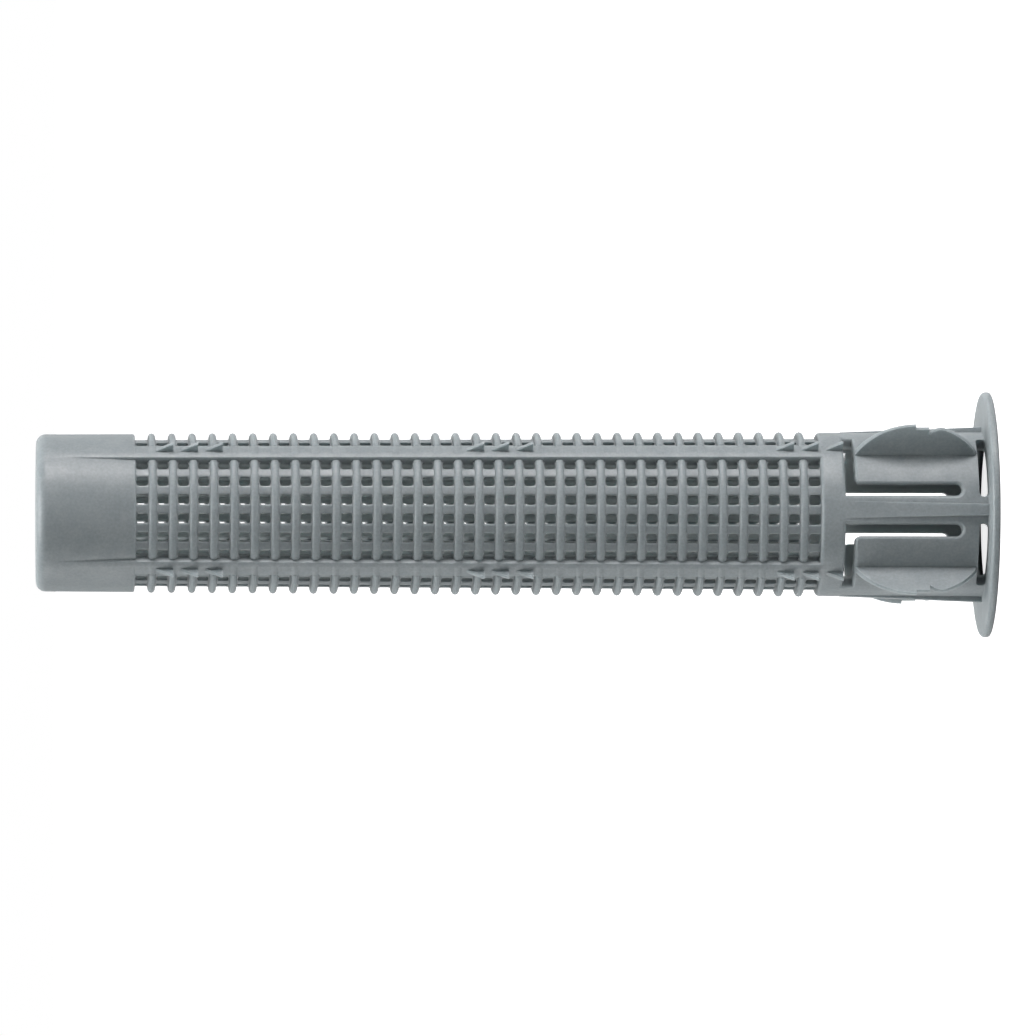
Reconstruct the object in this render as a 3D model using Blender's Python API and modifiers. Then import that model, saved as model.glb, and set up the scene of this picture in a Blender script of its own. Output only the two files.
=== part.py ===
"""Injection mesh sleeve for a 16 mm hole in a wall: one plastic moulding.

The sleeve stands on its flange. The origin is the centre of the flange's outer face, and +Z runs
along the axis to the closed tip. Angles are measured round the axis from the middle of one narrow
head bar, which faces -Y, towards +X.

The mould's core and cavity meet on a shut-off surface. Grooves in the cavity form the rings and
rails outside it, grooves in the core form the ribs inside it, and where neither is cut an opening
is left.
"""
from math import asin, cos, pi, radians, sin, sqrt, tau

import bmesh
import bpy

MM = 0.001

# Whole sleeve
SLEEVE_LENGTH = 85.0 * MM
BODY_RADIUS = 7.36 * MM
NARROWING = 0.38 * MM

# Flange
FLANGE_RADIUS = 10.95 * MM
FLANGE_THICKNESS = 0.70 * MM
FLANGE_ROUNDING = 0.20 * MM

# Wall of the head, and the cone in its bore that leads to the ribs
HEAD_WALL = 1.08 * MM
BORE_CONE_LENGTH = 1.2 * MM

# Mesh: rings outside the shut-off surface, ribs inside it, and every few ribs a raised rail.
# The moulding has 24 ribs of 0.9 mm; 16 broader ones leave the same share open with fewer facets.
HEAD_LENGTH = 15.54 * MM
RING_PITCH = 1.804 * MM
RING_BASE = 0.90 * MM
RING_TOP = 0.0 * MM
RING_HEIGHT = 0.56 * MM
RIB_COUNT = 16
RIB_WIDTH = 1.33 * MM
RIB_DEPTH = 0.80 * MM
RAIL_EVERY = 4
RAIL_ANGLE = radians(45)
# Width of a rail on both sides of its angle: towards the narrow bar, and towards the wide bar
RAIL_NARROW_SIDE = 0.50 * MM
RAIL_WIDE_SIDE = 0.82 * MM
BRACE_EVERY = 4

# Tip
TIP_LENGTH = 8.73 * MM
TIP_END_WALL = 1.2 * MM
TIP_ROUNDING = 0.85 * MM

# Slots in the head
NARROW_BAR_WIDTH = 2.57 * MM
WIDE_BAR_WIDTH = 6.42 * MM
TONGUE_SLOT_WIDTH = 1.00 * MM
TONGUE_GAP = 0.84 * MM
TONGUE_CORNER = 0.50 * MM
HEAD_RING_HEIGHT = 2.15 * MM
COLLAR_HEIGHT = 1.50 * MM
COLLAR_SLOT_HEIGHT = 0.83 * MM
COLLAR_SLOT_INSET = 0.10 * MM
COLLAR_SLOT_WEB = 7.10 * MM

# Fins on the tongues
FIN_HEIGHT = 3.28 * MM
FIN_THICKNESS = 0.60 * MM
FIN_END_MARGIN = 0.12 * MM
FIN_COLLAR_MARGIN = 0.05 * MM
FIN_STEP_DEPTH = 0.38 * MM
FIN_NOTCH_DEPTH = 0.92 * MM
FIN_NOTCH_WIDTH = 1.30 * MM
# Shares of the fin's length, from the flange end, at which its crest steps down and is notched
FIN_STEP_AT = 0.515
FIN_NOTCH_AT = 0.403

# Ramp ribs on the bars
RAMP_HEIGHT = 0.47 * MM
RAMP_TIP_WIDTH = 1.51 * MM
RAMP_FLANGE_WIDTH = 1.09 * MM

# Barbs on the rails
BARB_HEIGHT = 0.82 * MM
BARB_LENGTH = 1.55 * MM
BARB_WIDTH = 0.44 * MM
BARB_SHIFT = 0.50 * MM
BARB_PITCH = 2.18 * MM
BARBS_IN_GROUP = 3
BARB_GROUPS = 3
BARB_HEAD_MARGIN = 0.08 * MM
BARB_TIP_MARGIN = 1.80 * MM

# Depth to which a fin, ramp or barb is sunk into the wall that carries it, and of a barb's tail
ROOT_DEPTH = 0.40 * MM
BARB_TAIL_DEPTH = 0.05 * MM

# Fineness of round stretches
ARC_POINTS = 5
SLOT_STEPS = 5
FIN_STEPS = 8
FIN_FOOT_STEPS = 3
SHARP_ANGLE = radians(30)
# Most by which a vertex may lie off a level, radius or base line that it belongs to
NEAR = 0.001 * MM

PLASTIC_COLOUR = (0.235, 0.262, 0.266, 1.0)
PLASTIC_ROUGHNESS = 0.45

head_bore_radius = BODY_RADIUS - HEAD_WALL
cone_start = HEAD_LENGTH - BORE_CONE_LENGTH
shut_off_radius = BODY_RADIUS - RING_HEIGHT
mesh_bore_radius = shut_off_radius - RIB_DEPTH
tip_start = SLEEVE_LENGTH - TIP_LENGTH
tip_floor = SLEEVE_LENGTH - TIP_END_WALL
ring_gap = RING_PITCH - RING_BASE
ring_count = int((tip_start - HEAD_LENGTH - ring_gap) / RING_PITCH)
first_ring = HEAD_LENGTH + ring_gap + RING_BASE / 2
ring_centres = [first_ring + number * RING_PITCH for number in range(ring_count)]
rib_pitch = tau / RIB_COUNT
collar_start = FLANGE_THICKNESS + COLLAR_SLOT_HEIGHT
tongue_slot_end = collar_start + COLLAR_HEIGHT
tongue_gap_end = HEAD_LENGTH - HEAD_RING_HEIGHT
tongue_end = tongue_gap_end - TONGUE_GAP
quarter_arc = BODY_RADIUS * pi / 2


def place(radius, angle, height):
    """Point at a radius and angle round the axis."""
    return (radius * sin(angle), -radius * cos(angle), height)


def collection(name):
    """New collection in the scene."""
    made = bpy.data.collections.new(name)
    bpy.context.scene.collection.children.link(made)
    return made


def mesh_object(name, bm, home):
    """Object made from a bmesh, which is freed."""
    mesh = bpy.data.meshes.new(name)
    bm.to_mesh(mesh)
    bm.free()
    made = bpy.data.objects.new(name, mesh)
    home.objects.link(made)
    return made


def arc(centre_x, centre_y, radius, start, end):
    """Points on a flat arc, both ends included."""
    turns = [start + (end - start) * step / (ARC_POINTS - 1) for step in range(ARC_POINTS)]
    return [(centre_x + radius * cos(turn), centre_y + radius * sin(turn)) for turn in turns]


def is_rail(number):
    """True for the ribs that are raised to the level of the rings."""
    return number % RAIL_EVERY == 0


def wide_bar_side(quarter):
    """Direction round the axis from a rail or fin to the wide bar beside it."""
    return 1 if quarter % 2 == 0 else -1


def rib_edges():
    """Angles of both edges of each rib, rail ribs first in each group."""
    edges = []
    for number in range(RIB_COUNT):
        before = after = RIB_WIDTH / 2
        if is_rail(number):
            before, after = RAIL_NARROW_SIDE, RAIL_WIDE_SIDE
            if wide_bar_side(number // RAIL_EVERY) < 0:
                before, after = after, before
        centre = RAIL_ANGLE + number * rib_pitch
        edges += [centre - before / shut_off_radius, centre + after / shut_off_radius]
    return edges


def shut_off_skin(levels):
    """Tube on the shut-off surface, cut at the levels and rib edges and closed at its tip end.

    Returns the bmesh, its rows of faces from the flange up, and the disc that closes it. In a row
    the even faces lie on ribs and the odd ones between them.
    """
    bm = bmesh.new()
    columns = [[bm.verts.new(place(shut_off_radius, angle, level)) for level in levels]
               for angle in rib_edges()]
    rows = []
    for low in range(len(levels) - 1):
        row = []
        for number, column in enumerate(columns):
            beside = columns[(number + 1) % len(columns)]
            row.append(bm.faces.new((column[low], beside[low], beside[low + 1], column[low + 1])))
        rows.append(row)
    disc = bm.faces.new([column[-1] for column in columns])
    return bm, rows, disc


def helper(made):
    """Mark an object that only shapes another one."""
    made.hide_render = True
    made.display_type = 'WIRE'
    return made


def round_off(bm, level, radius, size, segments):
    """Round the edge loop that runs round the axis at this level and radius."""
    loop = [edge for edge in bm.edges
            if all(abs(vert.co.z - level) < NEAR and abs(vert.co.xy.length - radius) < NEAR
                   for vert in edge.verts)]
    bmesh.ops.bevel(bm, geom=loop, offset=size, segments=segments, profile=0.5, affect='EDGES')


def push(bm, faces, radius_at, level_at=None):
    """Move a region of the skin to a new radius at each level, with walls round its border."""
    made = bmesh.ops.extrude_face_region(bm, geom=faces)
    bmesh.ops.delete(bm, geom=faces, context='FACES')
    moved = [item for item in made['geom'] if isinstance(item, bmesh.types.BMVert)]
    for vert in moved:
        x, y, z = vert.co
        scale = radius_at(z) / vert.co.xy.length
        vert.co = (x * scale, y * scale, level_at(z) if level_at else z)


def ring_levels():
    """Both base lines of every ring."""
    half = RING_BASE / 2
    return [level for centre in ring_centres for level in (centre - half, centre + half)]


def ring_top_level(level):
    """Level of a ring's crest above one of its base lines; other levels stay."""
    for centre in ring_centres:
        if abs(abs(level - centre) - RING_BASE / 2) < NEAR:
            return centre + (RING_TOP / 2 if level > centre else -RING_TOP / 2)
    return level


def cavity_side():
    """Outside of the sleeve: flange, head, rings, rails and tip."""
    levels = [0, FLANGE_THICKNESS, HEAD_LENGTH] + ring_levels() + [tip_start, SLEEVE_LENGTH]
    bm, rows, disc = shut_off_skin(levels)
    flange, head, mesh_rows, tip = rows[0], rows[1], rows[2:-1], rows[-1]
    raised = flange + head + tip + [disc]
    openings = []
    for number, row in enumerate(mesh_rows):
        on_ring = number % 2 == 1
        for place_in_row, face in enumerate(row):
            on_rib = place_in_row % 2 == 0
            if on_ring or (on_rib and is_rail(place_in_row // 2)):
                raised.append(face)
            elif not on_rib:
                openings.append(face)
    bmesh.ops.delete(bm, geom=openings, context='FACES')
    push(bm, raised, lambda level: BODY_RADIUS, ring_top_level)
    bm.faces.ensure_lookup_table()
    rim = [face for face in bm.faces
           if face.calc_center_median().z < FLANGE_THICKNESS and abs(face.normal.z) < 0.5]
    push(bm, rim, lambda level: FLANGE_RADIUS)
    return bm


def halve_rim_facets(bm):
    """Give the wide rim of the flange twice the facets of the body."""
    rim_limit = (BODY_RADIUS + FLANGE_RADIUS) / 2
    rim = [edge for edge in bm.edges
           if edge.verts[0].co.z == edge.verts[1].co.z
           and all(vert.co.xy.length > rim_limit for vert in edge.verts)]
    bmesh.ops.subdivide_edges(bm, edges=rim, cuts=1)
    for vert in bm.verts:
        radius = vert.co.xy.length
        if radius > rim_limit:
            x, y, z = vert.co
            vert.co = (x * FLANGE_RADIUS / radius, y * FLANGE_RADIUS / radius, z)


def core_side():
    """Inside of the sleeve: bore of the head, ribs and cup of the tip."""
    levels = [0, cone_start, HEAD_LENGTH] + ring_levels() + [tip_start, tip_floor]
    bm, rows, disc = shut_off_skin(levels)
    head, mesh_rows, tip = rows[:2], rows[2:-1], rows[-1]
    sunk = head[0] + head[1] + tip + [disc]
    openings = []
    for number, row in enumerate(mesh_rows):
        on_ring = number % 2 == 1
        sunk += row[0::2]
        if not on_ring:
            openings += row[1::2]
    bmesh.ops.delete(bm, geom=openings, context='FACES')
    push(bm, sunk, lambda level: head_bore_radius if level < cone_start + NEAR else mesh_bore_radius)
    bmesh.ops.reverse_faces(bm, faces=bm.faces)
    return bm


def thin_out(bm):
    """Drop the inner corners of the ribs, apart from those at every few rings."""
    kept = [centre - RING_BASE / 2 for centre in ring_centres[::BRACE_EVERY]]

    def spare(vert):
        in_mesh = HEAD_LENGTH + ring_gap / 2 < vert.co.z < tip_start - ring_gap / 2
        on_inside = vert.co.xy.length < shut_off_radius - RIB_DEPTH / 2
        return in_mesh and on_inside and all(abs(vert.co.z - level) > NEAR for level in kept)

    across = [edge for edge in bm.edges
              if any(spare(vert) for vert in edge.verts)
              and abs(edge.verts[0].co.z - edge.verts[1].co.z) < NEAR]
    bmesh.ops.dissolve_edges(bm, edges=across, use_verts=True)


def sleeve_body(home):
    """Cavity side and core side welded along the edges of the openings and at the flange face."""
    bm = cavity_side()
    inside = core_side()
    inner_mesh = bpy.data.meshes.new('core_side')
    inside.to_mesh(inner_mesh)
    inside.free()
    bm.from_mesh(inner_mesh)
    bpy.data.meshes.remove(inner_mesh)
    bmesh.ops.remove_doubles(bm, verts=bm.verts, dist=NEAR)
    thin_out(bm)
    halve_rim_facets(bm)
    round_off(bm, SLEEVE_LENGTH, BODY_RADIUS, TIP_ROUNDING, 2)
    round_off(bm, FLANGE_THICKNESS, FLANGE_RADIUS, FLANGE_ROUNDING, 1)
    round_off(bm, 0, FLANGE_RADIUS, FLANGE_ROUNDING, 1)
    return mesh_object('mesh_sleeve', bm, home)


def loft(bm, near, far):
    """Closed solid between two outlines with the same number of points."""
    loops = [[bm.verts.new(point) for point in outline] for outline in (near, far)]
    count = len(near)
    for first in range(count):
        after = (first + 1) % count
        bm.faces.new((loops[0][first], loops[0][after], loops[1][after], loops[1][first]))
    for loop in loops:
        bm.faces.new(loop)


def spread(start, end, steps):
    """Evenly spaced values between two ends, without the ends."""
    return [start + (end - start) * step / steps for step in range(1, steps)]


def wrapped_cutter(bm, outline, bar_angle, side):
    """Solid that cuts an outline, drawn as lengths along the wall and heights, through the wall.

    The outline starts from the middle of a bar and runs round the wall to one side of it.
    """
    inner = head_bore_radius / 2
    outer = FLANGE_RADIUS
    loops = [[place(radius, bar_angle + side * along / BODY_RADIUS, height) for along, height in outline]
             for radius in (inner, outer)]
    loft(bm, *loops)


def tongue_slot_outline():
    """L-shaped slot: along the narrow bar, then round the end of the tongue to the wide bar."""
    near = NARROW_BAR_WIDTH / 2
    far = near + TONGUE_SLOT_WIDTH
    end = quarter_arc - WIDE_BAR_WIDTH / 2
    half = TONGUE_SLOT_WIDTH / 2
    corner = arc(far + TONGUE_CORNER, tongue_end - TONGUE_CORNER, TONGUE_CORNER, pi, pi / 2)
    run = spread(far + TONGUE_CORNER, end, SLOT_STEPS)
    return (arc(near + half, tongue_slot_end + half, half, pi, tau) + corner
            + [(along, tongue_end) for along in run]
            + [(end, tongue_end), (end, tongue_gap_end)]
            + [(along, tongue_gap_end) for along in reversed(run)]
            + [(near, tongue_gap_end)])


def collar_slot_outline():
    """Slot with round ends between the collar and the flange."""
    low = FLANGE_THICKNESS
    half = COLLAR_SLOT_HEIGHT / 2
    start = NARROW_BAR_WIDTH / 2 - COLLAR_SLOT_INSET + half
    end = quarter_arc - COLLAR_SLOT_WEB / 2 - half
    run = spread(start, end, SLOT_STEPS)
    return (arc(start, low + half, half, pi * 1.5, pi / 2)
            + [(along, low + COLLAR_SLOT_HEIGHT) for along in run]
            + arc(end, low + half, half, pi / 2, -pi / 2)
            + [(along, low) for along in reversed(run)])


def slots(home):
    """Cutters for the slots that free the four tongues."""
    bm = bmesh.new()
    for bar_angle in (0, pi):
        for side in (-1, 1):
            wrapped_cutter(bm, tongue_slot_outline(), bar_angle, side)
            wrapped_cutter(bm, collar_slot_outline(), bar_angle, side)
    bmesh.ops.recalc_face_normals(bm, faces=bm.faces)
    return helper(mesh_object('head_slots', bm, home))


def plate(bm, outline, angle, width, shift=0.0, top_width=None):
    """Flat rib that stands on the wall, from an outline of radii and heights."""
    top_width = width if top_width is None else top_width
    lowest = min(height for radius, height in outline)
    highest = max(height for radius, height in outline)
    loops = []
    for side in (-0.5, 0.5):
        loop = []
        for radius, height in outline:
            share = (height - lowest) / (highest - lowest)
            offset = shift + side * (width + (top_width - width) * share)
            x, y, z = place(radius, angle, height)
            loop.append((x + offset * cos(angle), y + offset * sin(angle), z))
        loops.append(loop)
    loft(bm, *loops)


def fin_outline():
    """Crescent along the tongue, with a flat step just past its peak and a notch after the step."""
    low = collar_start + FIN_COLLAR_MARGIN
    high = tongue_end - FIN_END_MARGIN
    chord = high - low
    radius = (chord * chord / 4 + FIN_HEIGHT * FIN_HEIGHT) / (2 * FIN_HEIGHT)
    middle = (low + high) / 2
    centre = BODY_RADIUS + FIN_HEIGHT - radius
    half_angle = asin(chord / 2 / radius)
    step_level = low + chord * FIN_STEP_AT
    notch_level = low + chord * FIN_NOTCH_AT
    notch_foot = notch_level - FIN_NOTCH_WIDTH

    def crest(level):
        """Point on the crescent's arc, or in the notch, which rises back to the arc in a round lobe."""
        share = min(1, (notch_level - level) / FIN_NOTCH_WIDTH)
        drop = FIN_NOTCH_DEPTH * (1 - sin(share * pi / 2)) if share >= 0 else 0
        return (centre + sqrt(radius ** 2 - (level - middle) ** 2) - drop, level)

    turns = [half_angle * (1 - step / FIN_STEPS) for step in range(FIN_STEPS)]
    upper = [(centre + radius * cos(turn), middle + radius * sin(turn)) for turn in turns]
    upper = [point for point in upper if point[1] > step_level] + [crest(step_level)]
    shoulder = crest(step_level)[0] - FIN_STEP_DEPTH
    lobe = [crest(level) for level in [notch_level] + spread(notch_level, notch_foot, FIN_STEPS // 2)]
    lower = [crest(level) for level in [notch_foot] + spread(notch_foot, low, FIN_FOOT_STEPS)]
    root = BODY_RADIUS - ROOT_DEPTH
    return ([(root, high)] + upper + [(shoulder, step_level), (shoulder, notch_level)] + lobe + lower
            + [(BODY_RADIUS, low), (root, low)])


def ramp_outline():
    """Low rib that rises along a bar towards the flange."""
    root = BODY_RADIUS - ROOT_DEPTH
    start = FLANGE_THICKNESS / 2
    return [(root, start), (BODY_RADIUS + RAMP_HEIGHT, start),
            (BODY_RADIUS, tongue_gap_end), (root, tongue_gap_end)]


def barb_outline(sharp_end):
    """Wedge that rises towards the flange and ends in a sharp edge."""
    root = BODY_RADIUS - ROOT_DEPTH
    tail = sharp_end + BARB_LENGTH
    return [(root, sharp_end), (BODY_RADIUS + BARB_HEIGHT, sharp_end),
            (BODY_RADIUS - BARB_TAIL_DEPTH, tail), (root, tail)]


def barb_levels():
    """Levels of the sharp ends of the barbs on one rail, from the tongue slot to the tip."""
    first = tongue_gap_end + BARB_HEAD_MARGIN
    group_length = (BARBS_IN_GROUP - 1) * BARB_PITCH + BARB_LENGTH
    last = tip_start - BARB_TIP_MARGIN - group_length
    group_pitch = (last - first) / (BARB_GROUPS - 1)
    return [first + group * group_pitch + number * BARB_PITCH
            for group in range(BARB_GROUPS) for number in range(BARBS_IN_GROUP)]


def fittings(home):
    """Fins, ramp ribs and barbs, to be joined to the wall."""
    bm = bmesh.new()
    for quarter in range(4):
        plate(bm, fin_outline(), RAIL_ANGLE + quarter * pi / 2, FIN_THICKNESS)
        plate(bm, ramp_outline(), quarter * pi / 2, RAMP_FLANGE_WIDTH, top_width=RAMP_TIP_WIDTH)
        for level in barb_levels():
            plate(bm, barb_outline(level), RAIL_ANGLE + quarter * pi / 2, BARB_WIDTH,
                  shift=wide_bar_side(quarter) * BARB_SHIFT)
    bmesh.ops.recalc_face_normals(bm, faces=bm.faces)
    return helper(mesh_object('head_fittings', bm, home))


def boolean(target, tool, operation):
    """Cut the tool from the target, or join it to the target."""
    modifier = target.modifiers.new(tool.name, 'BOOLEAN')
    modifier.operation = operation
    modifier.solver = 'EXACT'
    modifier.object = tool


def draft(target):
    """Narrow the sleeve evenly towards its tip, so that it leaves the mould."""
    modifier = target.modifiers.new('draft', 'SIMPLE_DEFORM')
    modifier.deform_method = 'TAPER'
    modifier.deform_axis = 'Z'
    modifier.factor = -NARROWING / BODY_RADIUS


def plastic():
    """Plain grey moulding plastic."""
    material = bpy.data.materials.new('grey_plastic')
    material.use_nodes = True
    shader = material.node_tree.nodes['Principled BSDF']
    shader.inputs['Base Color'].default_value = PLASTIC_COLOUR
    shader.inputs['Roughness'].default_value = PLASTIC_ROUGHNESS
    shader.inputs['Metallic'].default_value = 0.0
    return material


def build():
    """Make the sleeve."""
    for old in list(bpy.data.objects):
        bpy.data.objects.remove(old)
    home = collection('injection_mesh_sleeve')
    tools = collection('cutters')
    sleeve = sleeve_body(home)
    sleeve.data.shade_smooth()
    sleeve.data.set_sharp_from_angle(angle=SHARP_ANGLE)
    boolean(sleeve, slots(tools), 'DIFFERENCE')
    boolean(sleeve, fittings(tools), 'UNION')
    draft(sleeve)
    sleeve.data.materials.append(plastic())


build()
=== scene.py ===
"""Looks of the injection mesh sleeve: the fine surface of the moulding, its plastic, and a studio.

The sleeve stands on its flange, with +Z along its axis to the closed tip. Angles are measured round
the axis from the middle of the narrow head bar that faces -Y, towards +X.

The wall is made as an outer and an inner skin over one grid. Columns of vertices run along the
sleeve, beside and across its ribs, and rows run round it. Both skins leave out the same openings,
and are welded along their edges.
"""

from collections import namedtuple
from math import asin, cos, pi, radians, sin, sqrt, tau

import bmesh
import bpy
from mathutils import Matrix, Vector

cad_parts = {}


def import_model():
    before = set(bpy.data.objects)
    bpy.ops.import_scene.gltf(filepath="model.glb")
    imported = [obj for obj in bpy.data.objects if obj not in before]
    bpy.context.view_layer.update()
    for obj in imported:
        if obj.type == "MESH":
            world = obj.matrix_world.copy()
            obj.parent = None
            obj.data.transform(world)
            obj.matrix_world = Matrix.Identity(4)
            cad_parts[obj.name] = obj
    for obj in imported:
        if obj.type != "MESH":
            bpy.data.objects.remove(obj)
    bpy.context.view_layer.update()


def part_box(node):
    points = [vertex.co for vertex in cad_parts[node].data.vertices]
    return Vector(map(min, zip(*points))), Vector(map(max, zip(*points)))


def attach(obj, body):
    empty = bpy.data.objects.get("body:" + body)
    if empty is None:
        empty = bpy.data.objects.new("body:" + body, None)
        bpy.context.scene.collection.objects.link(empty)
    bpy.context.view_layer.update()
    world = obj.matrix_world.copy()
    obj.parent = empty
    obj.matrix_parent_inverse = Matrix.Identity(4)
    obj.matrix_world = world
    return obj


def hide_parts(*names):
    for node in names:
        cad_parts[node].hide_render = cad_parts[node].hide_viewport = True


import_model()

MM = 0.001
NODE = "mesh_sleeve"
node_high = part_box(NODE)[1]

# Whole sleeve
SLEEVE_LENGTH = node_high.z
FLANGE_RADIUS = node_high.x
BODY_RADIUS = 7.36 * MM
NARROWING = 0.38 * MM

# Flange, and the fillet where the head stands on it
FLANGE_THICKNESS = 0.70 * MM
FLANGE_ROUNDING = 0.33 * MM
FLANGE_FACE_ROUNDING = 0.20 * MM
FLANGE_FILLET = 0.12 * MM

# Head wall, the cone in its bore that leads to the ribs, and the bore's widened mouth
HEAD_WALL = 1.08 * MM
HEAD_LENGTH = 15.54 * MM
HEAD_END_ROUNDING = 0.34 * MM
BORE_CONE_LENGTH = 1.2 * MM
MOUTH_WIDENING = 0.80 * MM
MOUTH_DEPTH = 0.55 * MM

# Mesh: rings with round tops, ribs inside them, and every sixth rib raised to a rail
RING_PITCH = 1.804 * MM
RING_BASE = 0.80 * MM
RING_CREST = 0.62 * MM
RING_HEIGHT = 0.63 * MM
RING_FLANK_SPREAD = 1.12
RING_FLANK_SHARE = 0.04
RING_TOP_END = 0.06
MESH_DROP = 0.56 * MM
SECTOR_DROP = 0.26 * MM
FOOT_LENGTH = 0.60 * MM
FOOT_SHARE = 0.35
RIB_COUNT = 24
RIB_WIDTH = 0.82 * MM
RIB_DEPTH = 0.80 * MM
RIB_DRAFT = 0.06 * MM
RIB_ROUNDING = 0.12 * MM
RAIL_EVERY = 6
RAIL_NARROW_SIDE = 0.50 * MM
RAIL_WIDE_SIDE = 1.15 * MM
RAIL_DRAFT = 0.035 * MM
RAIL_FRONT_ROUNDING = 0.15 * MM
RAIL_SIDE_ROUNDING = 0.10 * MM
RAIL_ROUNDING_SHARE = 0.35
RAIL_STEP = 0.03 * MM
RAIL_STEP_AT = 0.12 * MM
RAIL_ANGLE = radians(45)
EDGE_BREAK = 0.05 * MM
OPENING_CORNER = 0.17 * MM
OPENING_CORNER_SHARE = 0.25

# Tip
TIP_LENGTH = 8.73 * MM
TIP_END_WALL = 1.2 * MM
TIP_ROUNDING = 0.85 * MM
TIP_EDGE_ROUNDING = 0.16 * MM
TIP_FLOOR_ROUNDING = 0.5 * MM
PANEL_DROP = 0.22 * MM
PANEL_FADE_LENGTH = 7.2 * MM
PANEL_STEPS = 6

# Slots in the head, and how far their cutters scrape the flange and overlap the wall's faces
NARROW_BAR_WIDTH = 2.57 * MM
WIDE_BAR_WIDTH = 6.42 * MM
TONGUE_SLOT_WIDTH = 1.08 * MM
TONGUE_GAP = 0.84 * MM
TONGUE_CORNER = 0.50 * MM
HEAD_RING_HEIGHT = 2.15 * MM
COLLAR_HEIGHT = 1.50 * MM
COLLAR_SLOT_HEIGHT = 0.83 * MM
COLLAR_SLOT_INSET = 0.10 * MM
COLLAR_SLOT_WEB = 7.10 * MM
SLOT_EDGE_ROUNDING = 0.30 * MM
PARALLEL_ANGLE = radians(20)
FLANGE_SCRAPE = 0.02 * MM
CUTTER_MARGIN = 0.35 * MM
TONGUE_SLOT_STEPS = 10
COLLAR_SLOT_STEPS = 12

# Layers of the cutters: where they lie on a tongue slot's rounded edge, how far above and beside the
# wall's surface they end there, and how far past the fillet, the scrape and the flange others lie
EDGE_SHARES = (0.4, 0.7, 0.9)
EDGE_RISE = 0.2
EDGE_GROWTH = 1.1
COLLAR_CLEARANCE = 1.5
CUTTER_REACH = 1.1

# Fins on the tongues
FIN_HEIGHT = 3.28 * MM
FIN_THICKNESS = 0.62 * MM
FIN_CREST_THICKNESS = 0.28 * MM
FIN_END_MARGIN = 0.12 * MM
FIN_COLLAR_MARGIN = 0.05 * MM
FIN_STEP_DEPTH = 0.38 * MM
FIN_NOTCH_DEPTH = 0.92 * MM
FIN_NOTCH_WIDTH = 1.30 * MM
FIN_STEP_AT = 0.515
FIN_NOTCH_AT = 0.403
FIN_STEPS = 24

# Ramp ribs on the bars
RAMP_HEIGHT = 0.47 * MM
RAMP_TIP_WIDTH = 1.51 * MM
RAMP_FLANGE_WIDTH = 1.09 * MM
RAMP_DRAFT = 0.18

# Barbs on the rails
BARB_HEIGHT = 0.82 * MM
BARB_LENGTH = 1.55 * MM
BARB_WIDTH = 0.32 * MM
BARB_SHIFT = 0.55 * MM
BARB_PITCH = 2.18 * MM
BARBS_IN_GROUP = 3
BARB_GROUPS = 3
BARB_HEAD_MARGIN = 0.08 * MM
BARB_TIP_MARGIN = 1.80 * MM

# Depth to which a fin, ramp or barb is sunk into the wall, and depth of the end of a barb's slope
ROOT_DEPTH = 0.40 * MM
SLOPE_END_DEPTH = ROOT_DEPTH / 8

# Length of the draft of a steep end wall of the mesh, and the height of its foot
WALL_DRAFT = 0.03 * MM
WALL_FOOT = 0.02 * MM

# Distance within which vertices of the two skins are welded, and how far a cutter's corner may stretch
WELD_DISTANCE = 0.0005 * MM
CORNER_LIMIT = 0.4

# Angle from which an edge is sharp, and how close to the head's cone and how far past the roundings
# at its ends a corner lies to be shaded as part of the cone
SHARP_ANGLE = radians(38)
CONE_TOLERANCE = 0.02 * MM
CONE_FACING = 0.99
CONE_CLEARANCE = 1.01

head_bore_radius = BODY_RADIUS - HEAD_WALL
mouth_radius = head_bore_radius + MOUTH_WIDENING
shut_off_radius = BODY_RADIUS - MESH_DROP
mesh_bore_radius = shut_off_radius - RIB_DEPTH
tip_start = SLEEVE_LENGTH - TIP_LENGTH
tip_floor = SLEEVE_LENGTH - TIP_END_WALL
ring_gap = RING_PITCH - RING_BASE
ring_count = int((tip_start - HEAD_LENGTH - ring_gap) / RING_PITCH)
first_ring = HEAD_LENGTH + (tip_start - HEAD_LENGTH - (ring_count - 1) * RING_PITCH) / 2
ring_centres = [first_ring + number * RING_PITCH for number in range(ring_count)]
collar_start = FLANGE_THICKNESS + COLLAR_SLOT_HEIGHT
tongue_slot_end = collar_start + COLLAR_HEIGHT
tongue_gap_end = HEAD_LENGTH - HEAD_RING_HEIGHT
tongue_end = tongue_gap_end - TONGUE_GAP
quarter_arc = BODY_RADIUS * pi / 2

# A column lies over a gap, the edge of an opening or a rib. Its surfaces rise over the shut-off
# surface and reach a depth under it, its sector is sunk by a share, and the ends of the openings
# beside it reach some way beyond their rows.
Column = namedtuple("Column", "angle over rise depth sunk reach")

# A row gives each column a level and a radius. The gaps above it may be open.
Row = namedtuple("Row", "level_at radius_at open_above")


def place(radius, angle, height):
    """Point at a radius and angle round the axis."""
    return (radius * sin(angle), -radius * cos(angle), height)


def arc(centre_x, centre_y, radius, start, end, points=7):
    """Points on a flat arc, both ends included."""
    turns = [start + (end - start) * step / (points - 1) for step in range(points)]
    return [(centre_x + radius * cos(turn), centre_y + radius * sin(turn)) for turn in turns]


def spread(start, end, steps):
    """Evenly spaced values between two ends, without the ends."""
    return [start + (end - start) * step / steps for step in range(1, steps)]


def rounded_drop(inset, size):
    """How far a rounded edge lies below its face, at an inset from the side."""
    left = min(size, max(0, size - inset))
    return size - sqrt(size * size - left * left)


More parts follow.
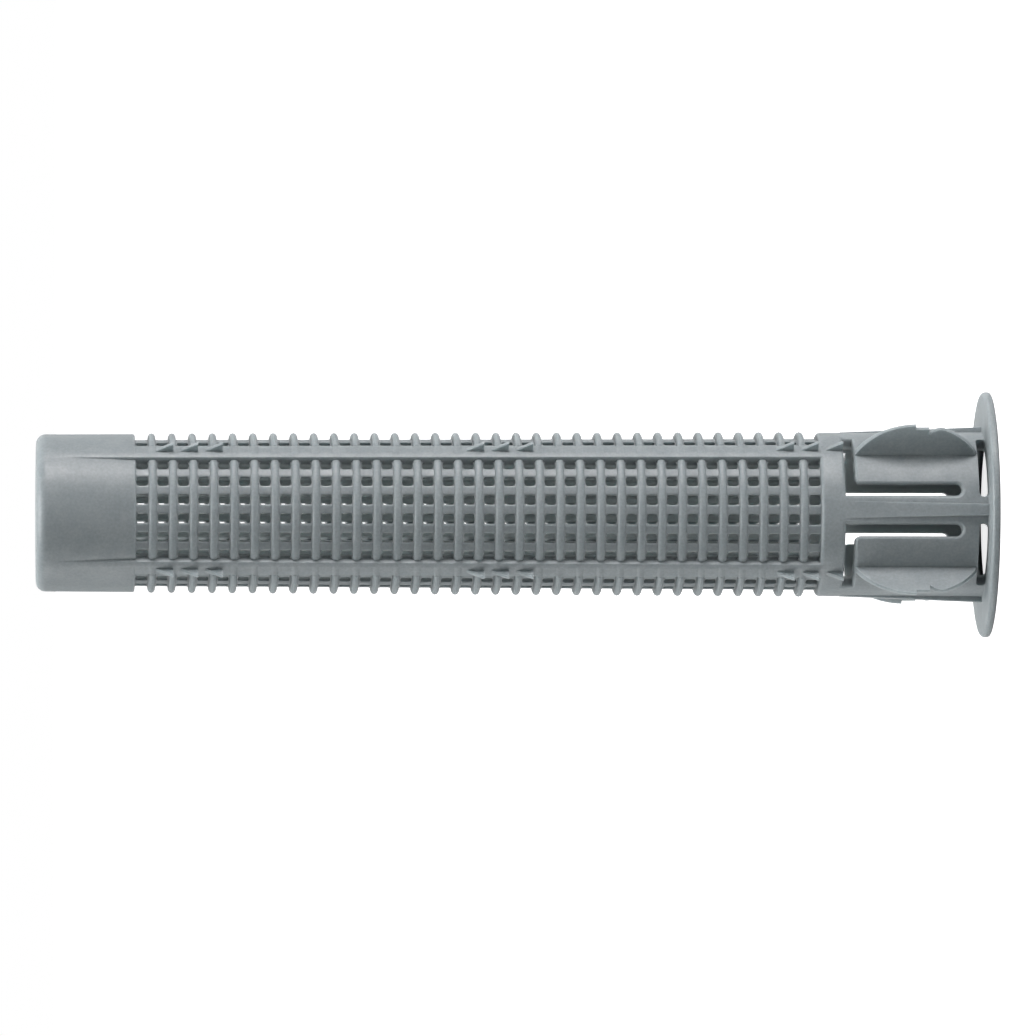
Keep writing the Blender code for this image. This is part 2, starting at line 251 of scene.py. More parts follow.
def rib_columns(angle, joined):
    """Columns across a plain rib, from edge to edge.

    A web joins one of its sides to the rail beside it, where joined is -1 or 1.
    """
    half = RIB_WIDTH / 2
    corners = [(half, 0), (half - RIB_DRAFT, RIB_DEPTH - RIB_ROUNDING),
               (half - RIB_DRAFT - RIB_ROUNDING, RIB_DEPTH)]
    sides = [(-offset, depth) for offset, depth in corners] + corners[::-1]
    made = []
    for offset, depth in sides:
        if offset * joined > 0:
            depth = RIB_DEPTH
        over = "edge" if depth == 0 else "rib"
        turn = angle + offset / shut_off_radius
        made.append(Column(turn, over, 0, depth, sunk_at(angle), OPENING_CORNER))
    return made


def rail_columns(angle, side):
    """Columns across a rail, which is wider, a little lower and less rounded towards the wide bar.

    The wide bar lies at larger angles where side is 1, and at smaller ones where it is -1.
    """
    low_top = MESH_DROP - RAIL_STEP
    halves = ((-side, RAIL_NARROW_SIDE, MESH_DROP, RAIL_FRONT_ROUNDING),
              (side, RAIL_WIDE_SIDE, low_top, RAIL_SIDE_ROUNDING))
    made = []
    for towards, width, top, rounding in halves:
        insets = [0, RAIL_DRAFT, RAIL_DRAFT + rounding * RAIL_ROUNDING_SHARE, RAIL_DRAFT + rounding]
        for inset in insets:
            rise = 0 if inset == 0 else top - rounded_drop(inset - RAIL_DRAFT, rounding)
            if towards == side:
                over, depth = "rib", RIB_DEPTH
            elif inset == 0:
                over, depth = "edge", 0
            else:
                over, depth = "rib", RIB_DEPTH - rounded_drop(inset - RAIL_DRAFT, RIB_ROUNDING)
            turn = angle + towards * (width - inset) / shut_off_radius
            made.append(Column(turn, over, rise, depth, sunk_at(turn), OPENING_CORNER))
    for offset, rise in ((RAIL_STEP_AT, MESH_DROP), (RAIL_STEP_AT + RAIL_STEP, low_top)):
        turn = angle + side * offset / shut_off_radius
        made.append(Column(turn, "rib", rise, RIB_DEPTH, sunk_at(turn), OPENING_CORNER))
    return sorted(made)


def all_columns():
    """Every column round the sleeve, with three in each open gap between ribs."""
    ribs = []
    for number in range(RIB_COUNT):
        angle = RAIL_ANGLE + number * tau / RIB_COUNT
        quarter, step = divmod(number, RAIL_EVERY)
        beside_wide_bar = quarter % 2 == 0
        if step == 0:
            ribs.append(rail_columns(angle, 1 if beside_wide_bar else -1))
        else:
            joined = {1: -1, RAIL_EVERY - 1: 1}.get(step, 0) if beside_wide_bar else 0
            ribs.append(rib_columns(angle, joined))
    made = []
    for rib, following in zip(ribs, ribs[1:] + ribs[:1]):
        start = rib[-1].angle
        width = (following[0].angle - start) % tau
        corner = OPENING_CORNER / shut_off_radius
        corner_reach = OPENING_CORNER * OPENING_CORNER_SHARE
        made += rib
        # A web fills the narrow gap between a rail and the rib that is joined to it
        if width < 3 * corner:
            continue
        for inset, reach in ((corner, corner_reach), (width / 2, 0), (width - corner, corner_reach)):
            made.append(Column(start + inset, "gap", 0, 0, sunk_at(start + inset), reach))
    return made


def sunk_at(angle):
    """How far the surface lies below the rails at an angle, as a share of its drop.

    It is 1 on the two sectors in which the narrow bars lie, and more at the foot of their rails.
    """
    from_bar = abs(asin(sin(angle)))
    if from_bar >= RAIL_ANGLE:
        return 0
    from_foot = (RAIL_ANGLE - from_bar) * shut_off_radius - RAIL_NARROW_SIDE
    return 1 + FOOT_SHARE * max(0, 1 - max(0, from_foot) / FOOT_LENGTH) ** 2


columns = all_columns()


def skin(bm, rows, outward):
    """Surface over a list of rows, without the openings."""
    loops = [[bm.verts.new(place(row.radius_at(column), column.angle, row.level_at(column)))
              for column in columns] for row in rows]
    for row, low, high in zip(rows, loops, loops[1:]):
        for first in range(len(columns)):
            after = (first + 1) % len(columns)
            in_gap = "gap" in (columns[first].over, columns[after].over)
            if row.open_above and in_gap:
                continue
            corners = [low[first], low[after], high[after], high[first]]
            bm.faces.new(corners if outward else corners[::-1])
    return loops


def turned(level, radius):
    """Row that is a plain circle."""
    return Row(lambda column: level, lambda column: radius, False)


def raised(level, height, fall=0):
    """Row on the outside at a height over the shut-off surface, or on the rails where there are any.

    The fall is the share of the height that is missing on the sectors of the narrow bars.
    """
    def radius_at(column):
        own = min(height, MESH_DROP) if column.rise else height
        return shut_off_radius + max(own * (1 - fall * column.sunk), column.rise)
    return Row(lambda column: level, radius_at, False)


def border_level(level, away):
    """Levels along the edges of openings with rounded corners, which lie away from a level."""
    return lambda column: level + away * column.reach


def outer_border(level, away, open_above):
    """Row on the outside along the edges of openings, which are broken a little."""
    def radius_at(column):
        return shut_off_radius + (column.rise if column.over == "rib" else -EDGE_BREAK)
    return Row(border_level(level, away), radius_at, open_above)


def inner_border(level, away, open_above):
    """Row on the inside along the edges of openings and over the ribs."""
    def radius_at(column):
        return shut_off_radius - (column.depth if column.over == "rib" else EDGE_BREAK)
    return Row(border_level(level, away), radius_at, open_above)


def ring_rows(centre):
    """Rows across one ring: flank, round top, flank."""
    crest = RING_CREST / 2
    flank = crest * RING_FLANK_SPREAD
    foot = RING_HEIGHT * RING_FLANK_SHARE
    top = arc(centre, RING_HEIGHT - crest, crest, pi * (1 - RING_TOP_END), pi * RING_TOP_END, 5)
    points = [(centre - flank, foot)] + top + [(centre + flank, foot)]
    return ([outer_border(centre - RING_BASE / 2, -1, False)]
            + [raised(level, height, SECTOR_DROP / RING_HEIGHT) for level, height in points]
            + [outer_border(centre + RING_BASE / 2, 1, True)])


def panel_fall(level):
    """Fall of the panels of the tip below its rails, which fades out towards the end."""
    return PANEL_DROP / MESH_DROP * max(0, 1 - (level - tip_start) / PANEL_FADE_LENGTH)


def outside_rows():
    """Rows of the outer skin, from the bore at the flange's face to the middle of the tip."""
    face_edge = arc(FLANGE_RADIUS - FLANGE_FACE_ROUNDING, FLANGE_FACE_ROUNDING, FLANGE_FACE_ROUNDING,
                    -pi / 2, 0, 5)
    back_edge = arc(FLANGE_RADIUS - FLANGE_ROUNDING, FLANGE_THICKNESS - FLANGE_ROUNDING, FLANGE_ROUNDING,
                    0, pi / 2, 5)
    fillet = arc(BODY_RADIUS + FLANGE_FILLET, FLANGE_THICKNESS + FLANGE_FILLET, FLANGE_FILLET,
                 -pi / 2, -pi, 4)
    rows = [turned(0, mouth_radius)]
    rows += [turned(level, radius) for radius, level in face_edge + back_edge + fillet]
    shoulder = arc(HEAD_LENGTH - HEAD_END_ROUNDING, MESH_DROP - HEAD_END_ROUNDING, HEAD_END_ROUNDING,
                   pi / 2, 0, 6)
    rows += [raised(level, height) for level, height in shoulder]
    rows.append(raised(HEAD_LENGTH + WALL_DRAFT / 2, WALL_FOOT))
    rows.append(outer_border(HEAD_LENGTH + WALL_DRAFT, 1, True))
    for centre in ring_centres:
        rows += ring_rows(centre)
    rows.append(outer_border(tip_start - WALL_DRAFT, -1, False))
    rows.append(raised(tip_start - WALL_DRAFT / 2, WALL_FOOT))
    tip_edge = arc(tip_start + TIP_EDGE_ROUNDING, MESH_DROP - TIP_EDGE_ROUNDING, TIP_EDGE_ROUNDING,
                   pi, pi / 2, 6)
    rows += [raised(level, height, PANEL_DROP / MESH_DROP) for level, height in tip_edge]
    faded = tip_start + PANEL_FADE_LENGTH
    fading = spread(tip_start + TIP_EDGE_ROUNDING, faded, PANEL_STEPS) + [faded]
    rows += [raised(level, MESH_DROP, panel_fall(level)) for level in fading]
    end = arc(BODY_RADIUS - TIP_ROUNDING, SLEEVE_LENGTH - TIP_ROUNDING, TIP_ROUNDING, 0, pi / 2, 8)
    rows += [turned(level, radius) for radius, level in end]
    return rows


def inside_rows():
    """Rows of the inner skin, from the bore at the flange's face to the floor of the cup."""
    rows = [turned(0, mouth_radius), turned(MOUTH_DEPTH, head_bore_radius),
            turned(HEAD_LENGTH - BORE_CONE_LENGTH, head_bore_radius),
            turned(HEAD_LENGTH, mesh_bore_radius), inner_border(HEAD_LENGTH + WALL_DRAFT, 1, True)]
    for centre in ring_centres:
        rows.append(inner_border(centre - RING_BASE / 2, -1, False))
        rows.append(inner_border(centre + RING_BASE / 2, 1, True))
    rows += [inner_border(tip_start - WALL_DRAFT, -1, False), turned(tip_start, mesh_bore_radius)]
    floor = arc(mesh_bore_radius - TIP_FLOOR_ROUNDING, tip_floor - TIP_FLOOR_ROUNDING, TIP_FLOOR_ROUNDING,
                0, pi / 2, 5)
    rows += [turned(level, radius) for radius, level in floor]
    return rows


def mesh_object(name, bm):
    """Object made from a bmesh, which is freed."""
    mesh = bpy.data.meshes.new(name)
    bm.to_mesh(mesh)
    bm.free()
    made = bpy.data.objects.new(name, mesh)
    bpy.context.scene.collection.objects.link(made)
    return made


def moulding():
    """Wall of the sleeve, without slots, fins, ramps and barbs."""
    bm = bmesh.new()
    outside = skin(bm, outside_rows(), True)
    inside = skin(bm, inside_rows(), False)
    bm.faces.new(outside[-1])
    bm.faces.new(inside[-1][::-1])
    bmesh.ops.remove_doubles(bm, verts=bm.verts, dist=WELD_DISTANCE)
    loose = [vert for vert in bm.verts if not vert.link_faces]
    bmesh.ops.delete(bm, geom=loose, context="VERTS")
    return mesh_object("sleeve_moulding", bm)


def loft(bm, outlines):
    """Closed solid through outlines that all have the same number of points."""
    loops = [[bm.verts.new(point) for point in outline] for outline in outlines]
    count = len(loops[0])
    for near, far in zip(loops, loops[1:]):
        for first in range(count):
            after = (first + 1) % count
            bm.faces.new((near[first], near[after], far[after], far[first]))
    bm.faces.new(loops[0])
    bm.faces.new(loops[-1])


def grown(outline, size):
    """Closed outline, drawn anticlockwise, moved outwards by a distance along its normals."""
    count = len(outline)
    made = []
    for number, (x, y) in enumerate(outline):
        before = Vector(outline[number - 1])
        after = Vector(outline[(number + 1) % count])
        here = Vector((x, y))
        first = (here - before).normalized()
        second = (after - here).normalized()
        normal = Vector((first.y + second.y, -first.x - second.x)).normalized()
        stretch = max(CORNER_LIMIT, normal.dot(Vector((second.y, -second.x))))
        made.append(tuple(here + normal * size / stretch))
    return made


def drawn_angle(along, radius):
    """Angle of a cutter's point at a radius inside the wall.

    Beside a narrow bar the slots' walls are parallel, as the mould's halves leave them. They turn
    towards the axis further round.
    """
    angle = along / BODY_RADIUS
    parallel = asin(min(1, BODY_RADIUS * sin(angle) / radius))
    share = min(1, max(0, (angle - PARALLEL_ANGLE) / (RAIL_ANGLE - PARALLEL_ANGLE)))
    return parallel * (1 - share) + angle * share


def slot_cutter(bm, outline, bar_angle, side, layers):
    """Cutter through the wall, from an outline and layers of a radius and a growth each.

    The outline is drawn as lengths along the wall and heights. It starts from the middle of a bar
    and runs round the wall to one side of it.
    """
    loft(bm, [[place(radius, bar_angle + side * drawn_angle(along, radius), height)
               for along, height in grown(outline, growth)] for radius, growth in layers])


def tongue_slot_layers():
    """Layers of a cutter that rounds the outer edge of its slot, and runs out beyond the wall."""
    rounding = SLOT_EDGE_ROUNDING
    layers = [(head_bore_radius - CUTTER_MARGIN, 0), (BODY_RADIUS - rounding, 0)]
    for share in EDGE_SHARES:
        layers.append((BODY_RADIUS - rounding + rounding * sin(share * pi / 2),
                       rounding * (1 - cos(share * pi / 2))))
    layers.append((BODY_RADIUS + rounding * EDGE_RISE, rounding * EDGE_GROWTH))
    layers.append((FLANGE_RADIUS, rounding * EDGE_GROWTH))
    return layers


def collar_slot_layers():
    """Layers of a plain cutter that clears the wall's foot, and runs out over the flange."""
    lifted = -FLANGE_SCRAPE * COLLAR_CLEARANCE
    past_fillet = BODY_RADIUS + FLANGE_FILLET * COLLAR_CLEARANCE
    return [(head_bore_radius - CUTTER_MARGIN, 0), (past_fillet, 0),
            (BODY_RADIUS + CUTTER_MARGIN, lifted), (FLANGE_RADIUS * CUTTER_REACH, lifted)]


def tongue_slot_outline():
    """L-shaped slot: along the narrow bar, then round the end of the tongue to the wide bar."""
    near = NARROW_BAR_WIDTH / 2
    far = near + TONGUE_SLOT_WIDTH
    end = quarter_arc - WIDE_BAR_WIDTH / 2
    half = TONGUE_SLOT_WIDTH / 2
    corner = arc(far + TONGUE_CORNER, tongue_end - TONGUE_CORNER, TONGUE_CORNER, pi, pi / 2)
    run = spread(far + TONGUE_CORNER, end, TONGUE_SLOT_STEPS)
    return (arc(near + half, tongue_slot_end + half, half, pi, tau, 13) + corner
            + [(along, tongue_end) for along in run]
            + [(end, tongue_end), (end, tongue_gap_end)]
            + [(along, tongue_gap_end) for along in reversed(run)]
            + [(near, tongue_gap_end)])


def collar_slot_outline():
    """Slot with round ends between the collar and the flange."""
    low = FLANGE_THICKNESS - FLANGE_SCRAPE
    half = (COLLAR_SLOT_HEIGHT + FLANGE_SCRAPE) / 2
    start = NARROW_BAR_WIDTH / 2 - COLLAR_SLOT_INSET + half
    end = quarter_arc - COLLAR_SLOT_WEB / 2 - half
    run = spread(start, end, COLLAR_SLOT_STEPS)
    return (arc(end, low + half, half, -pi / 2, pi / 2, 9)
            + [(along, low + 2 * half) for along in reversed(run)]
            + arc(start, low + half, half, pi / 2, pi * 1.5, 9)
            + [(along, low) for along in run])


def slots():
    """Cutters for the slots that free the four tongues."""
    bm = bmesh.new()
    for bar_angle in (0, pi):
        for side in (-1, 1):
            slot_cutter(bm, tongue_slot_outline(), bar_angle, side, tongue_slot_layers())
            slot_cutter(bm, collar_slot_outline(), bar_angle, side, collar_slot_layers())
    bmesh.ops.recalc_face_normals(bm, faces=bm.faces)
    return mesh_object("head_slots", bm)


def plate(bm, outline, angle, width_at, shift=0.0):
    """Rib that stands on the wall, from an outline of radii and heights and a width at each point."""
    loops = []
    for side in (-0.5, 0.5):
        loop = []
        for radius, height in outline:
            offset = shift + side * width_at(radius, height)
            x, y, z = place(radius, angle, height)
            loop.append((x + offset * cos(angle), y + offset * sin(angle), z))
        loops.append(loop)
    loft(bm, loops)


def fin_outline():
    """Crescent along the tongue, with a flat step just past its peak and a notch after the step."""
    low = collar_start + FIN_COLLAR_MARGIN
    high = tongue_end - FIN_END_MARGIN
    chord = high - low
    radius = (chord * chord / 4 + FIN_HEIGHT * FIN_HEIGHT) / (2 * FIN_HEIGHT)
    middle = (low + high) / 2
    centre = BODY_RADIUS + FIN_HEIGHT - radius
    half_angle = asin(chord / 2 / radius)
    step_level = low + chord * FIN_STEP_AT
    notch_level = low + chord * FIN_NOTCH_AT
    notch_foot = notch_level - FIN_NOTCH_WIDTH

    def crest(level):
        """Point on the crescent's arc, or in the notch, which rises back to the arc in a round lobe."""
        share = min(1, (notch_level - level) / FIN_NOTCH_WIDTH)
        drop = FIN_NOTCH_DEPTH * (1 - sin(share * pi / 2)) if share >= 0 else 0
        return (centre + sqrt(radius ** 2 - (level - middle) ** 2) - drop, level)

    turns = [half_angle * (1 - step / FIN_STEPS) for step in range(FIN_STEPS)]
    upper = [(centre + radius * cos(turn), middle + radius * sin(turn)) for turn in turns]
    upper = [point for point in upper if point[1] > step_level] + [crest(step_level)]
    shoulder = crest(step_level)[0] - FIN_STEP_DEPTH
    lobe = [crest(level) for level in [notch_level] + spread(notch_level, notch_foot, FIN_STEPS // 2)]
    lower = [crest(level) for level in [notch_foot] + spread(notch_foot, low, FIN_STEPS // 2)]
    root = BODY_RADIUS - ROOT_DEPTH
    return ([(root, high)] + upper + [(shoulder, step_level), (shoulder, notch_level)] + lobe + lower
            + [(BODY_RADIUS, low), (root, low)])


def fin_width(radius, height):
    """Thickness of a fin, which gets thinner towards its crest."""
    share = (radius - BODY_RADIUS) / FIN_HEIGHT
    return FIN_THICKNESS + (FIN_CREST_THICKNESS - FIN_THICKNESS) * share


def ramp_outline():
    """Low rib that rises along a bar towards the flange."""
    root = BODY_RADIUS - ROOT_DEPTH
    start = FLANGE_THICKNESS / 2
    return [(root, start), (BODY_RADIUS + RAMP_HEIGHT, start),
            (BODY_RADIUS, tongue_gap_end), (root, tongue_gap_end)]


def ramp_width(radius, height):
    """Width of a ramp rib, which gets narrower towards the flange."""
    share = height / tongue_gap_end
    foot = RAMP_FLANGE_WIDTH + (RAMP_TIP_WIDTH - RAMP_FLANGE_WIDTH) * share
    return foot - 2 * RAMP_DRAFT * (radius - BODY_RADIUS)


def barb_outline(sharp_end):
    """Wedge that rises towards the flange and ends in a sharp edge."""
    root = BODY_RADIUS - ROOT_DEPTH
    tail = sharp_end + BARB_LENGTH
    return [(root, sharp_end), (BODY_RADIUS + BARB_HEIGHT, sharp_end),
            (BODY_RADIUS - SLOPE_END_DEPTH, tail), (root, tail)]


def barb_width(radius, height):
    """Thickness of a barb, which is the same all over."""
    return BARB_WIDTH


def barb_levels():
    """Levels of the sharp ends of the barbs on one rail, from the tongue slot to the tip."""
    first = tongue_gap_end + BARB_HEAD_MARGIN
    group_length = (BARBS_IN_GROUP - 1) * BARB_PITCH + BARB_LENGTH
    last = tip_start - BARB_TIP_MARGIN - group_length
    group_pitch = (last - first) / (BARB_GROUPS - 1)
    return [first + group * group_pitch + number * BARB_PITCH
            for group in range(BARB_GROUPS) for number in range(BARBS_IN_GROUP)]


def fittings():
    """Fins, ramp ribs and barbs, to be joined to the wall."""
    bm = bmesh.new()
    for quarter in range(4):
        bar_angle = quarter * pi / 2
        rail_angle = RAIL_ANGLE + bar_angle
        towards_wide_bar = 1 if quarter % 2 == 0 else -1
        plate(bm, fin_outline(), rail_angle, fin_width)
        plate(bm, ramp_outline(), bar_angle, ramp_width)
        for level in barb_levels():
            plate(bm, barb_outline(level), rail_angle, barb_width, shift=towards_wide_bar * BARB_SHIFT)
    bmesh.ops.recalc_face_normals(bm, faces=bm.faces)
    return mesh_object("head_fittings", bm)


def boolean(target, tool, operation):
    """Cut the tool from the target, or join it to the target."""
    modifier = target.modifiers.new(tool.name, "BOOLEAN")
    modifier.operation = operation
    modifier.solver = "EXACT"
    modifier.object = tool


def applied(target, tools):
    """Replace the target's mesh by what its modifiers make of it, and remove the tools."""
    graph = bpy.context.evaluated_depsgraph_get()
    made = bpy.data.meshes.new_from_object(target.evaluated_get(graph))
    target.modifiers.clear()
    target.data = made
    for tool in tools:
        bpy.data.objects.remove(tool)


def taper(level):
    """Scale of the sleeve's width at a level, so that it narrows evenly towards its tip."""
    return 1 - NARROWING / BODY_RADIUS * level / SLEEVE_LENGTH


def draft(target):
    """Narrow the sleeve towards its tip, so that it leaves the mould."""
    for vert in target.data.vertices:
        scale = taper(vert.co.z)
        vert.co.x *= scale
        vert.co.y *= scale


def shade(target):
    """Smooth shading with sharp edges; the head's outside is shaded as the true cone that it is."""
    mesh = target.data
    mesh.shade_smooth()
    mesh.set_sharp_from_angle(angle=SHARP_ANGLE)
    low = FLANGE_THICKNESS + FLANGE_FILLET * CONE_CLEARANCE
    high = HEAD_LENGTH - HEAD_END_ROUNDING * CONE_CLEARANCE
    normals = []
    for polygon in mesh.polygons:
        for corner in polygon.loop_indices:
            point = mesh.vertices[mesh.loops[corner].vertex_index].co
            out = Vector((point.x, point.y, 0))
            off_wall = abs(out.length - BODY_RADIUS * taper(point.z))
            on_wall = low < point.z < high and off_wall < CONE_TOLERANCE
            smooth = on_wall and polygon.normal.dot(out.normalized()) > CONE_FACING
            normals.append(out.normalized() if smooth else (0, 0, 0))
    mesh.normals_split_custom_set(normals)


def build_sleeve():
    """The fine moulding, which stands for the CAD node."""
    sleeve = moulding()
    cutters = slots()
    parts = fittings()
    boolean(sleeve, cutters, "DIFFERENCE")
    boolean(sleeve, parts, "UNION")
    applied(sleeve, [cutters, parts])
    draft(sleeve)
    shade(sleeve)
    sleeve.data.materials.clear()
    sleeve.data.materials.append(plastic())
    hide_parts(NODE)
    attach(sleeve, "root")


# Plastic: its noises' scales, its grain, its colours, how far into the wall from the bore the painted
# light on the bore's surface reaches, and how light scatters in it
FLOW_SCALE = 650
SPECK_SCALE = 4200
WEAR_SCALE = 420
GRAIN_SCALE = 2600
GRAIN_HEIGHT = 0.03 * MM
GRAIN_STRENGTH = 0.35
RAMP_LOW = 0.3
RAMP_HIGH = 0.7
WHITE = (1, 1, 1, 1)
FLOW_DARK = (0.212, 0.243, 0.255, 1)
FLOW_LIGHT = (0.244, 0.275, 0.286, 1)
SPECK_DARK = (0.86, 0.86, 0.86, 1)
# Painted light: the bore's surface is made paler to stand for the daylight that thin walls let through
PAINTED_BORE_LIGHT = (0.50, 0.545, 0.55, 1)
ROUGHNESS_LOW = (0.42, 0.42, 0.42, 1)
ROUGHNESS_HIGH = (0.53, 0.53, 0.53, 1)
PAINTED_LIGHT_DEPTH = 0.08 * MM
PAINTED_LIGHT_FADE = 0.25 * MM
PLASTIC_IOR = 1.49
SCATTER_SHARE = 0.6
SCATTER_RADIUS = (0.9, 1.0, 1.0)
SCATTER_SCALE = 1.0 * MM


def noise(tree, where, scale, detail, roughness=0.6):
    """Noise over a place, as a value."""
    made = tree.nodes.new("ShaderNodeTexNoise")
    made.inputs["Scale"].default_value = scale
    made.inputs["Detail"].default_value = detail
    made.inputs["Roughness"].default_value = roughness
    tree.links.new(where, made.inputs["Vector"])
    return made.outputs["Fac"]


def color_ramp(tree, source, low, high):
    """Colour between two ends, over the middle of a noise's range."""
    made = tree.nodes.new("ShaderNodeValToRGB")
    first, last = made.color_ramp.elements
    first.position = RAMP_LOW
    first.color = low
    last.position = RAMP_HIGH
    last.color = high
    tree.links.new(source, made.inputs["Fac"])
    return made.outputs["Color"]


def map_range(tree, source, from_low, from_high, to_low=0, to_high=1):
    """Node that maps one range of a value to another, and holds it at the ends."""
    made = tree.nodes.new("ShaderNodeMapRange")
    made.inputs["From Min"].default_value = from_low
    made.inputs["From Max"].default_value = from_high
    made.inputs["To Min"].default_value = to_low
    made.inputs["To Max"].default_value = to_high
    tree.links.new(source, made.inputs["Value"])
    return made


def combined(tree, operation, first, second):
    """Value that a Math node makes of two others."""
    made = tree.nodes.new("ShaderNodeMath")
    made.operation = operation
    tree.links.new(first, made.inputs[0])
    tree.links.new(second, made.inputs[1])
    return made.outputs["Value"]


def vector_length(tree, source):
    """Length of a vector, as a value."""
    made = tree.nodes.new("ShaderNodeVectorMath")
    made.operation = "LENGTH"
    tree.links.new(source, made.inputs[0])
    return made.outputs["Value"]


def painted_light_share(tree, where):
    """Mask of the painted light: 1 on the surface of the bore and 0 from a little way into the wall."""
    across = tree.nodes.new("ShaderNodeVectorMath")
    across.operation = "MULTIPLY"
    across.inputs[1].default_value = (1, 1, 0)
    tree.links.new(where, across.inputs[0])
    split = tree.nodes.new("ShaderNodeSeparateXYZ")
    tree.links.new(where, split.inputs["Vector"])
    level = split.outputs["Z"]
    bore_radius = map_range(tree, level, HEAD_LENGTH - BORE_CONE_LENGTH, HEAD_LENGTH,
                            head_bore_radius, mesh_bore_radius)
    from_axis = vector_length(tree, across.outputs["Vector"])
    into_wall = combined(tree, "SUBTRACT", from_axis, bore_radius.outputs["Result"])
    near_bore = map_range(tree, into_wall, PAINTED_LIGHT_DEPTH + PAINTED_LIGHT_FADE, PAINTED_LIGHT_DEPTH)
    under_end = map_range(tree, level, tip_floor + PAINTED_LIGHT_DEPTH + PAINTED_LIGHT_FADE, tip_floor + PAINTED_LIGHT_DEPTH)
    return combined(tree, "MULTIPLY", near_bore.outputs["Result"], under_end.outputs["Result"])


def plastic_color(tree, where):
    """Grey with flow lines and specks; painted light in the bore stands for light through thin walls."""
    flow = color_ramp(tree, noise(tree, where, FLOW_SCALE, 3), FLOW_DARK, FLOW_LIGHT)
    specks = color_ramp(tree, noise(tree, where, SPECK_SCALE, 2, 0.5), SPECK_DARK, WHITE)
    grey = tree.nodes.new("ShaderNodeMix")
    grey.data_type = "RGBA"
    grey.blend_type = "MULTIPLY"
    grey.inputs["Factor"].default_value = 1
    tree.links.new(flow, grey.inputs[6])
    tree.links.new(specks, grey.inputs[7])
    # Painted light: the bore's surface is mixed towards a paler colour
    made = tree.nodes.new("ShaderNodeMix")
    made.data_type = "RGBA"
    tree.links.new(painted_light_share(tree, where), made.inputs["Factor"])
    tree.links.new(grey.outputs[2], made.inputs[6])
    made.inputs[7].default_value = PAINTED_BORE_LIGHT
    return made.outputs[2]


def plastic():
    """Grey moulded plastic: flow mottling, fine grain and a soft sheen."""
    material = bpy.data.materials.new("moulded_grey_plastic")
    material.use_nodes = True
    tree = material.node_tree
    shader = tree.nodes["Principled BSDF"]
    where = tree.nodes.new("ShaderNodeTexCoord").outputs["Object"]
    tree.links.new(plastic_color(tree, where), shader.inputs["Base Color"])
    wear = noise(tree, where, WEAR_SCALE, 4)
    tree.links.new(color_ramp(tree, wear, ROUGHNESS_LOW, ROUGHNESS_HIGH), shader.inputs["Roughness"])
    bump = tree.nodes.new("ShaderNodeBump")
    bump.inputs["Strength"].default_value = GRAIN_STRENGTH
    bump.inputs["Distance"].default_value = GRAIN_HEIGHT
    tree.links.new(noise(tree, where, GRAIN_SCALE, 3), bump.inputs["Height"])
    tree.links.new(bump.outputs["Normal"], shader.inputs["Normal"])
    shader.inputs["Metallic"].default_value = 0.0
    shader.inputs["IOR"].default_value = PLASTIC_IOR
    shader.inputs["Subsurface Weight"].default_value = SCATTER_SHARE
    shader.inputs["Subsurface Radius"].default_value = SCATTER_RADIUS
    shader.inputs["Subsurface Scale"].default_value = SCATTER_SCALE
    return material


# Camera of the photograph: its place, as place() takes it, its roll and lens, and where it aims
CAMERA_DISTANCE = 972 * MM
CAMERA_LEVEL = 96.7 * MM
CAMERA_TURN = radians(-3.45)
CAMERA_ROLL = radians(-0.08)
CAMERA_LENS = 379.7
AIM_LEVEL = 42.1 * MM
AIM_DROP = 0.37 * MM

# White floor: how much its part near the sleeve and its far part are lifted for the camera
FLOOR_HALF_WIDTH = 6.0
FLOOR_COLOR = (0.5, 0.5, 0.5, 1)
FLOOR_NEAR = 0.2
FLOOR_FAR = 1.6
FLOOR_NEAR_LIFT = 0.80
FLOOR_FAR_LIFT = 0.95

# White surroundings: strength in front of the sleeve and behind it, and the directions' Y for both
WORLD_FRONT = 0.10
WORLD_BACK = 0.80
WORLD_FRONT_AT = -0.3
WORLD_BACK_AT = 0.5


def camera():
    """The photograph's camera: +X is up in the picture, and the tip points left."""
    data = bpy.data.cameras.new("camera")
    data.sensor_width = 36
    data.lens = CAMERA_LENS
    data.clip_start = 0.05
    data.clip_end = 50
    made = bpy.data.objects.new("camera", data)
    bpy.context.scene.collection.objects.link(made)
    eye = Vector(place(CAMERA_DISTANCE, CAMERA_TURN, CAMERA_LEVEL))
    back = (eye - Vector((0, 0, AIM_LEVEL))).normalized()
    up = (Vector((1, 0, 0)) - back * back.x).normalized()
    right = up.cross(back)
    turn = Matrix((right, up, back)).transposed() @ Matrix.Rotation(CAMERA_ROLL, 3, "Z")
    made.matrix_world = Matrix.Translation(eye - up * AIM_DROP) @ turn.to_4x4()
    bpy.context.scene.camera = made


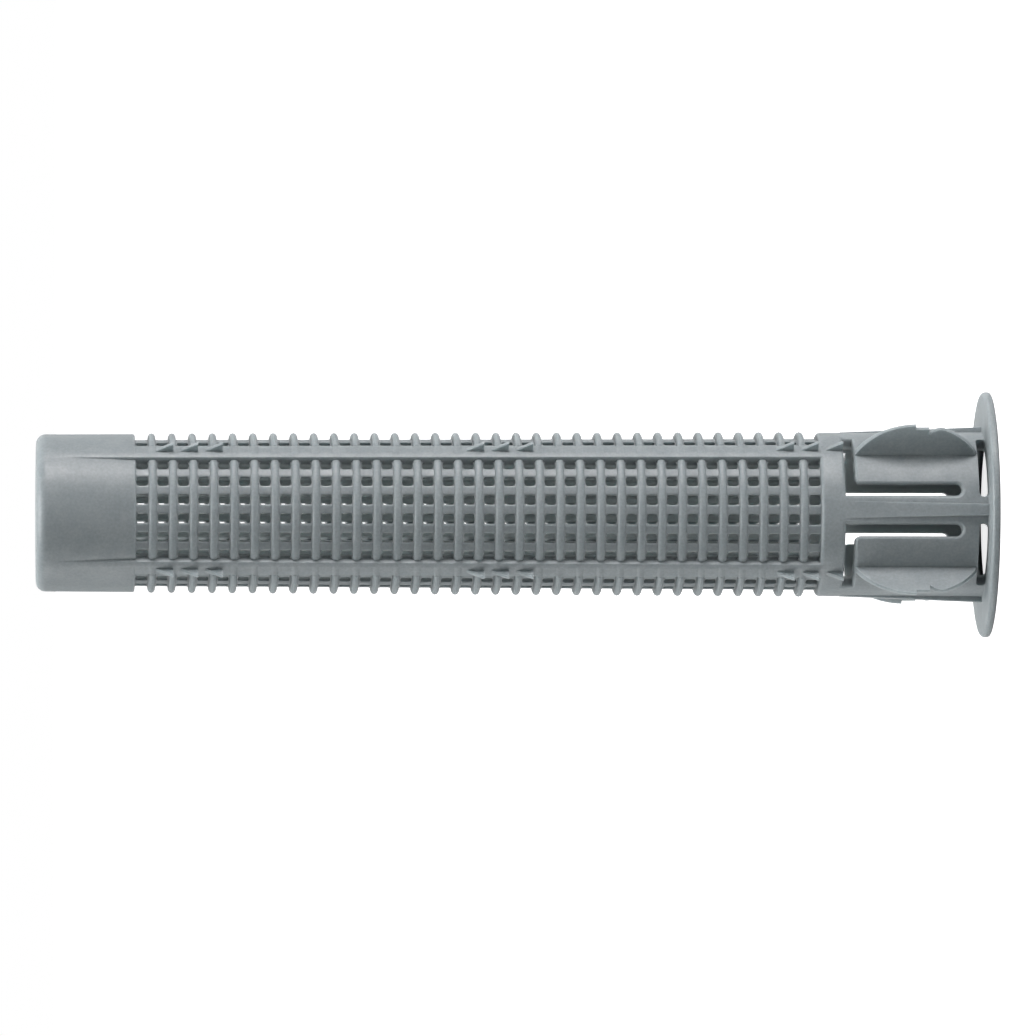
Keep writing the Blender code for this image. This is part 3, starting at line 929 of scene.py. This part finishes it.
def floor():
    """White floor that keeps the sleeve's shadow and reads as the photograph's background.

    The camera alone sees it lifted to white, further away more so, where less of the lamps' light falls.
    """
    bpy.ops.mesh.primitive_plane_add(size=2 * FLOOR_HALF_WIDTH)
    made = bpy.context.object
    made.name = "floor"
    material = bpy.data.materials.new("white_floor")
    material.use_nodes = True
    tree = material.node_tree
    shader = tree.nodes["Principled BSDF"]
    shader.inputs["Base Color"].default_value = FLOOR_COLOR
    shader.inputs["Roughness"].default_value = 1.0
    shader.inputs["Specular IOR Level"].default_value = 0.0
    shader.inputs["Emission Color"].default_value = WHITE
    distance = vector_length(tree, tree.nodes.new("ShaderNodeTexCoord").outputs["Object"])
    lift = map_range(tree, distance, FLOOR_NEAR, FLOOR_FAR, FLOOR_NEAR_LIFT, FLOOR_FAR_LIFT)
    seen = tree.nodes.new("ShaderNodeLightPath").outputs["Is Camera Ray"]
    lift_seen = combined(tree, "MULTIPLY", seen, lift.outputs["Result"])
    tree.links.new(lift_seen, shader.inputs["Emission Strength"])
    made.data.materials.append(material)


def world():
    """White surroundings, brightest behind the sleeve as its background is, and white to the camera."""
    made = bpy.data.worlds.new("studio")
    bpy.context.scene.world = made
    made.use_nodes = True
    tree = made.node_tree
    background = tree.nodes["Background"]
    background.inputs["Color"].default_value = WHITE
    split = tree.nodes.new("ShaderNodeSeparateXYZ")
    tree.links.new(tree.nodes.new("ShaderNodeTexCoord").outputs["Generated"], split.inputs["Vector"])
    behind = map_range(tree, split.outputs["Y"], WORLD_FRONT_AT, WORLD_BACK_AT, WORLD_FRONT, WORLD_BACK)
    seen = tree.nodes.new("ShaderNodeLightPath").outputs["Is Camera Ray"]
    level = map_range(tree, seen, 0, 1)
    tree.links.new(behind.outputs["Result"], level.inputs["To Min"])
    tree.links.new(level.outputs["Result"], background.inputs["Strength"])


def lamp(name, position, size, power, color=(1, 1, 1)):
    """Soft lamp of a width and height, aimed at the middle of the sleeve."""
    data = bpy.data.lights.new(name, "AREA")
    data.shape = "RECTANGLE"
    data.size, data.size_y = size
    data.energy = power
    data.color = color
    made = bpy.data.objects.new(name, data)
    bpy.context.scene.collection.objects.link(made)
    made.location = position
    aim = Vector((0, 0, SLEEVE_LENGTH / 2)) - Vector(position)
    made.rotation_euler = aim.to_track_quat("-Z", "Y").to_euler()


def studio():
    """Camera, floor, surroundings and lamps."""
    bpy.context.scene.view_settings.view_transform = "Standard"
    camera()
    floor()
    world()
    lamp("key", (0.85, -0.41, 0.14), (0.32, 0.22), 8.2, (1, 0.965, 0.97))
    lamp("end", (0.0, -0.10, 1.10), (0.6, 0.6), 15)
    lamp("low", (-0.90, 0.05, 0.20), (0.6, 0.3), 2.6)


build_sleeve()
studio()
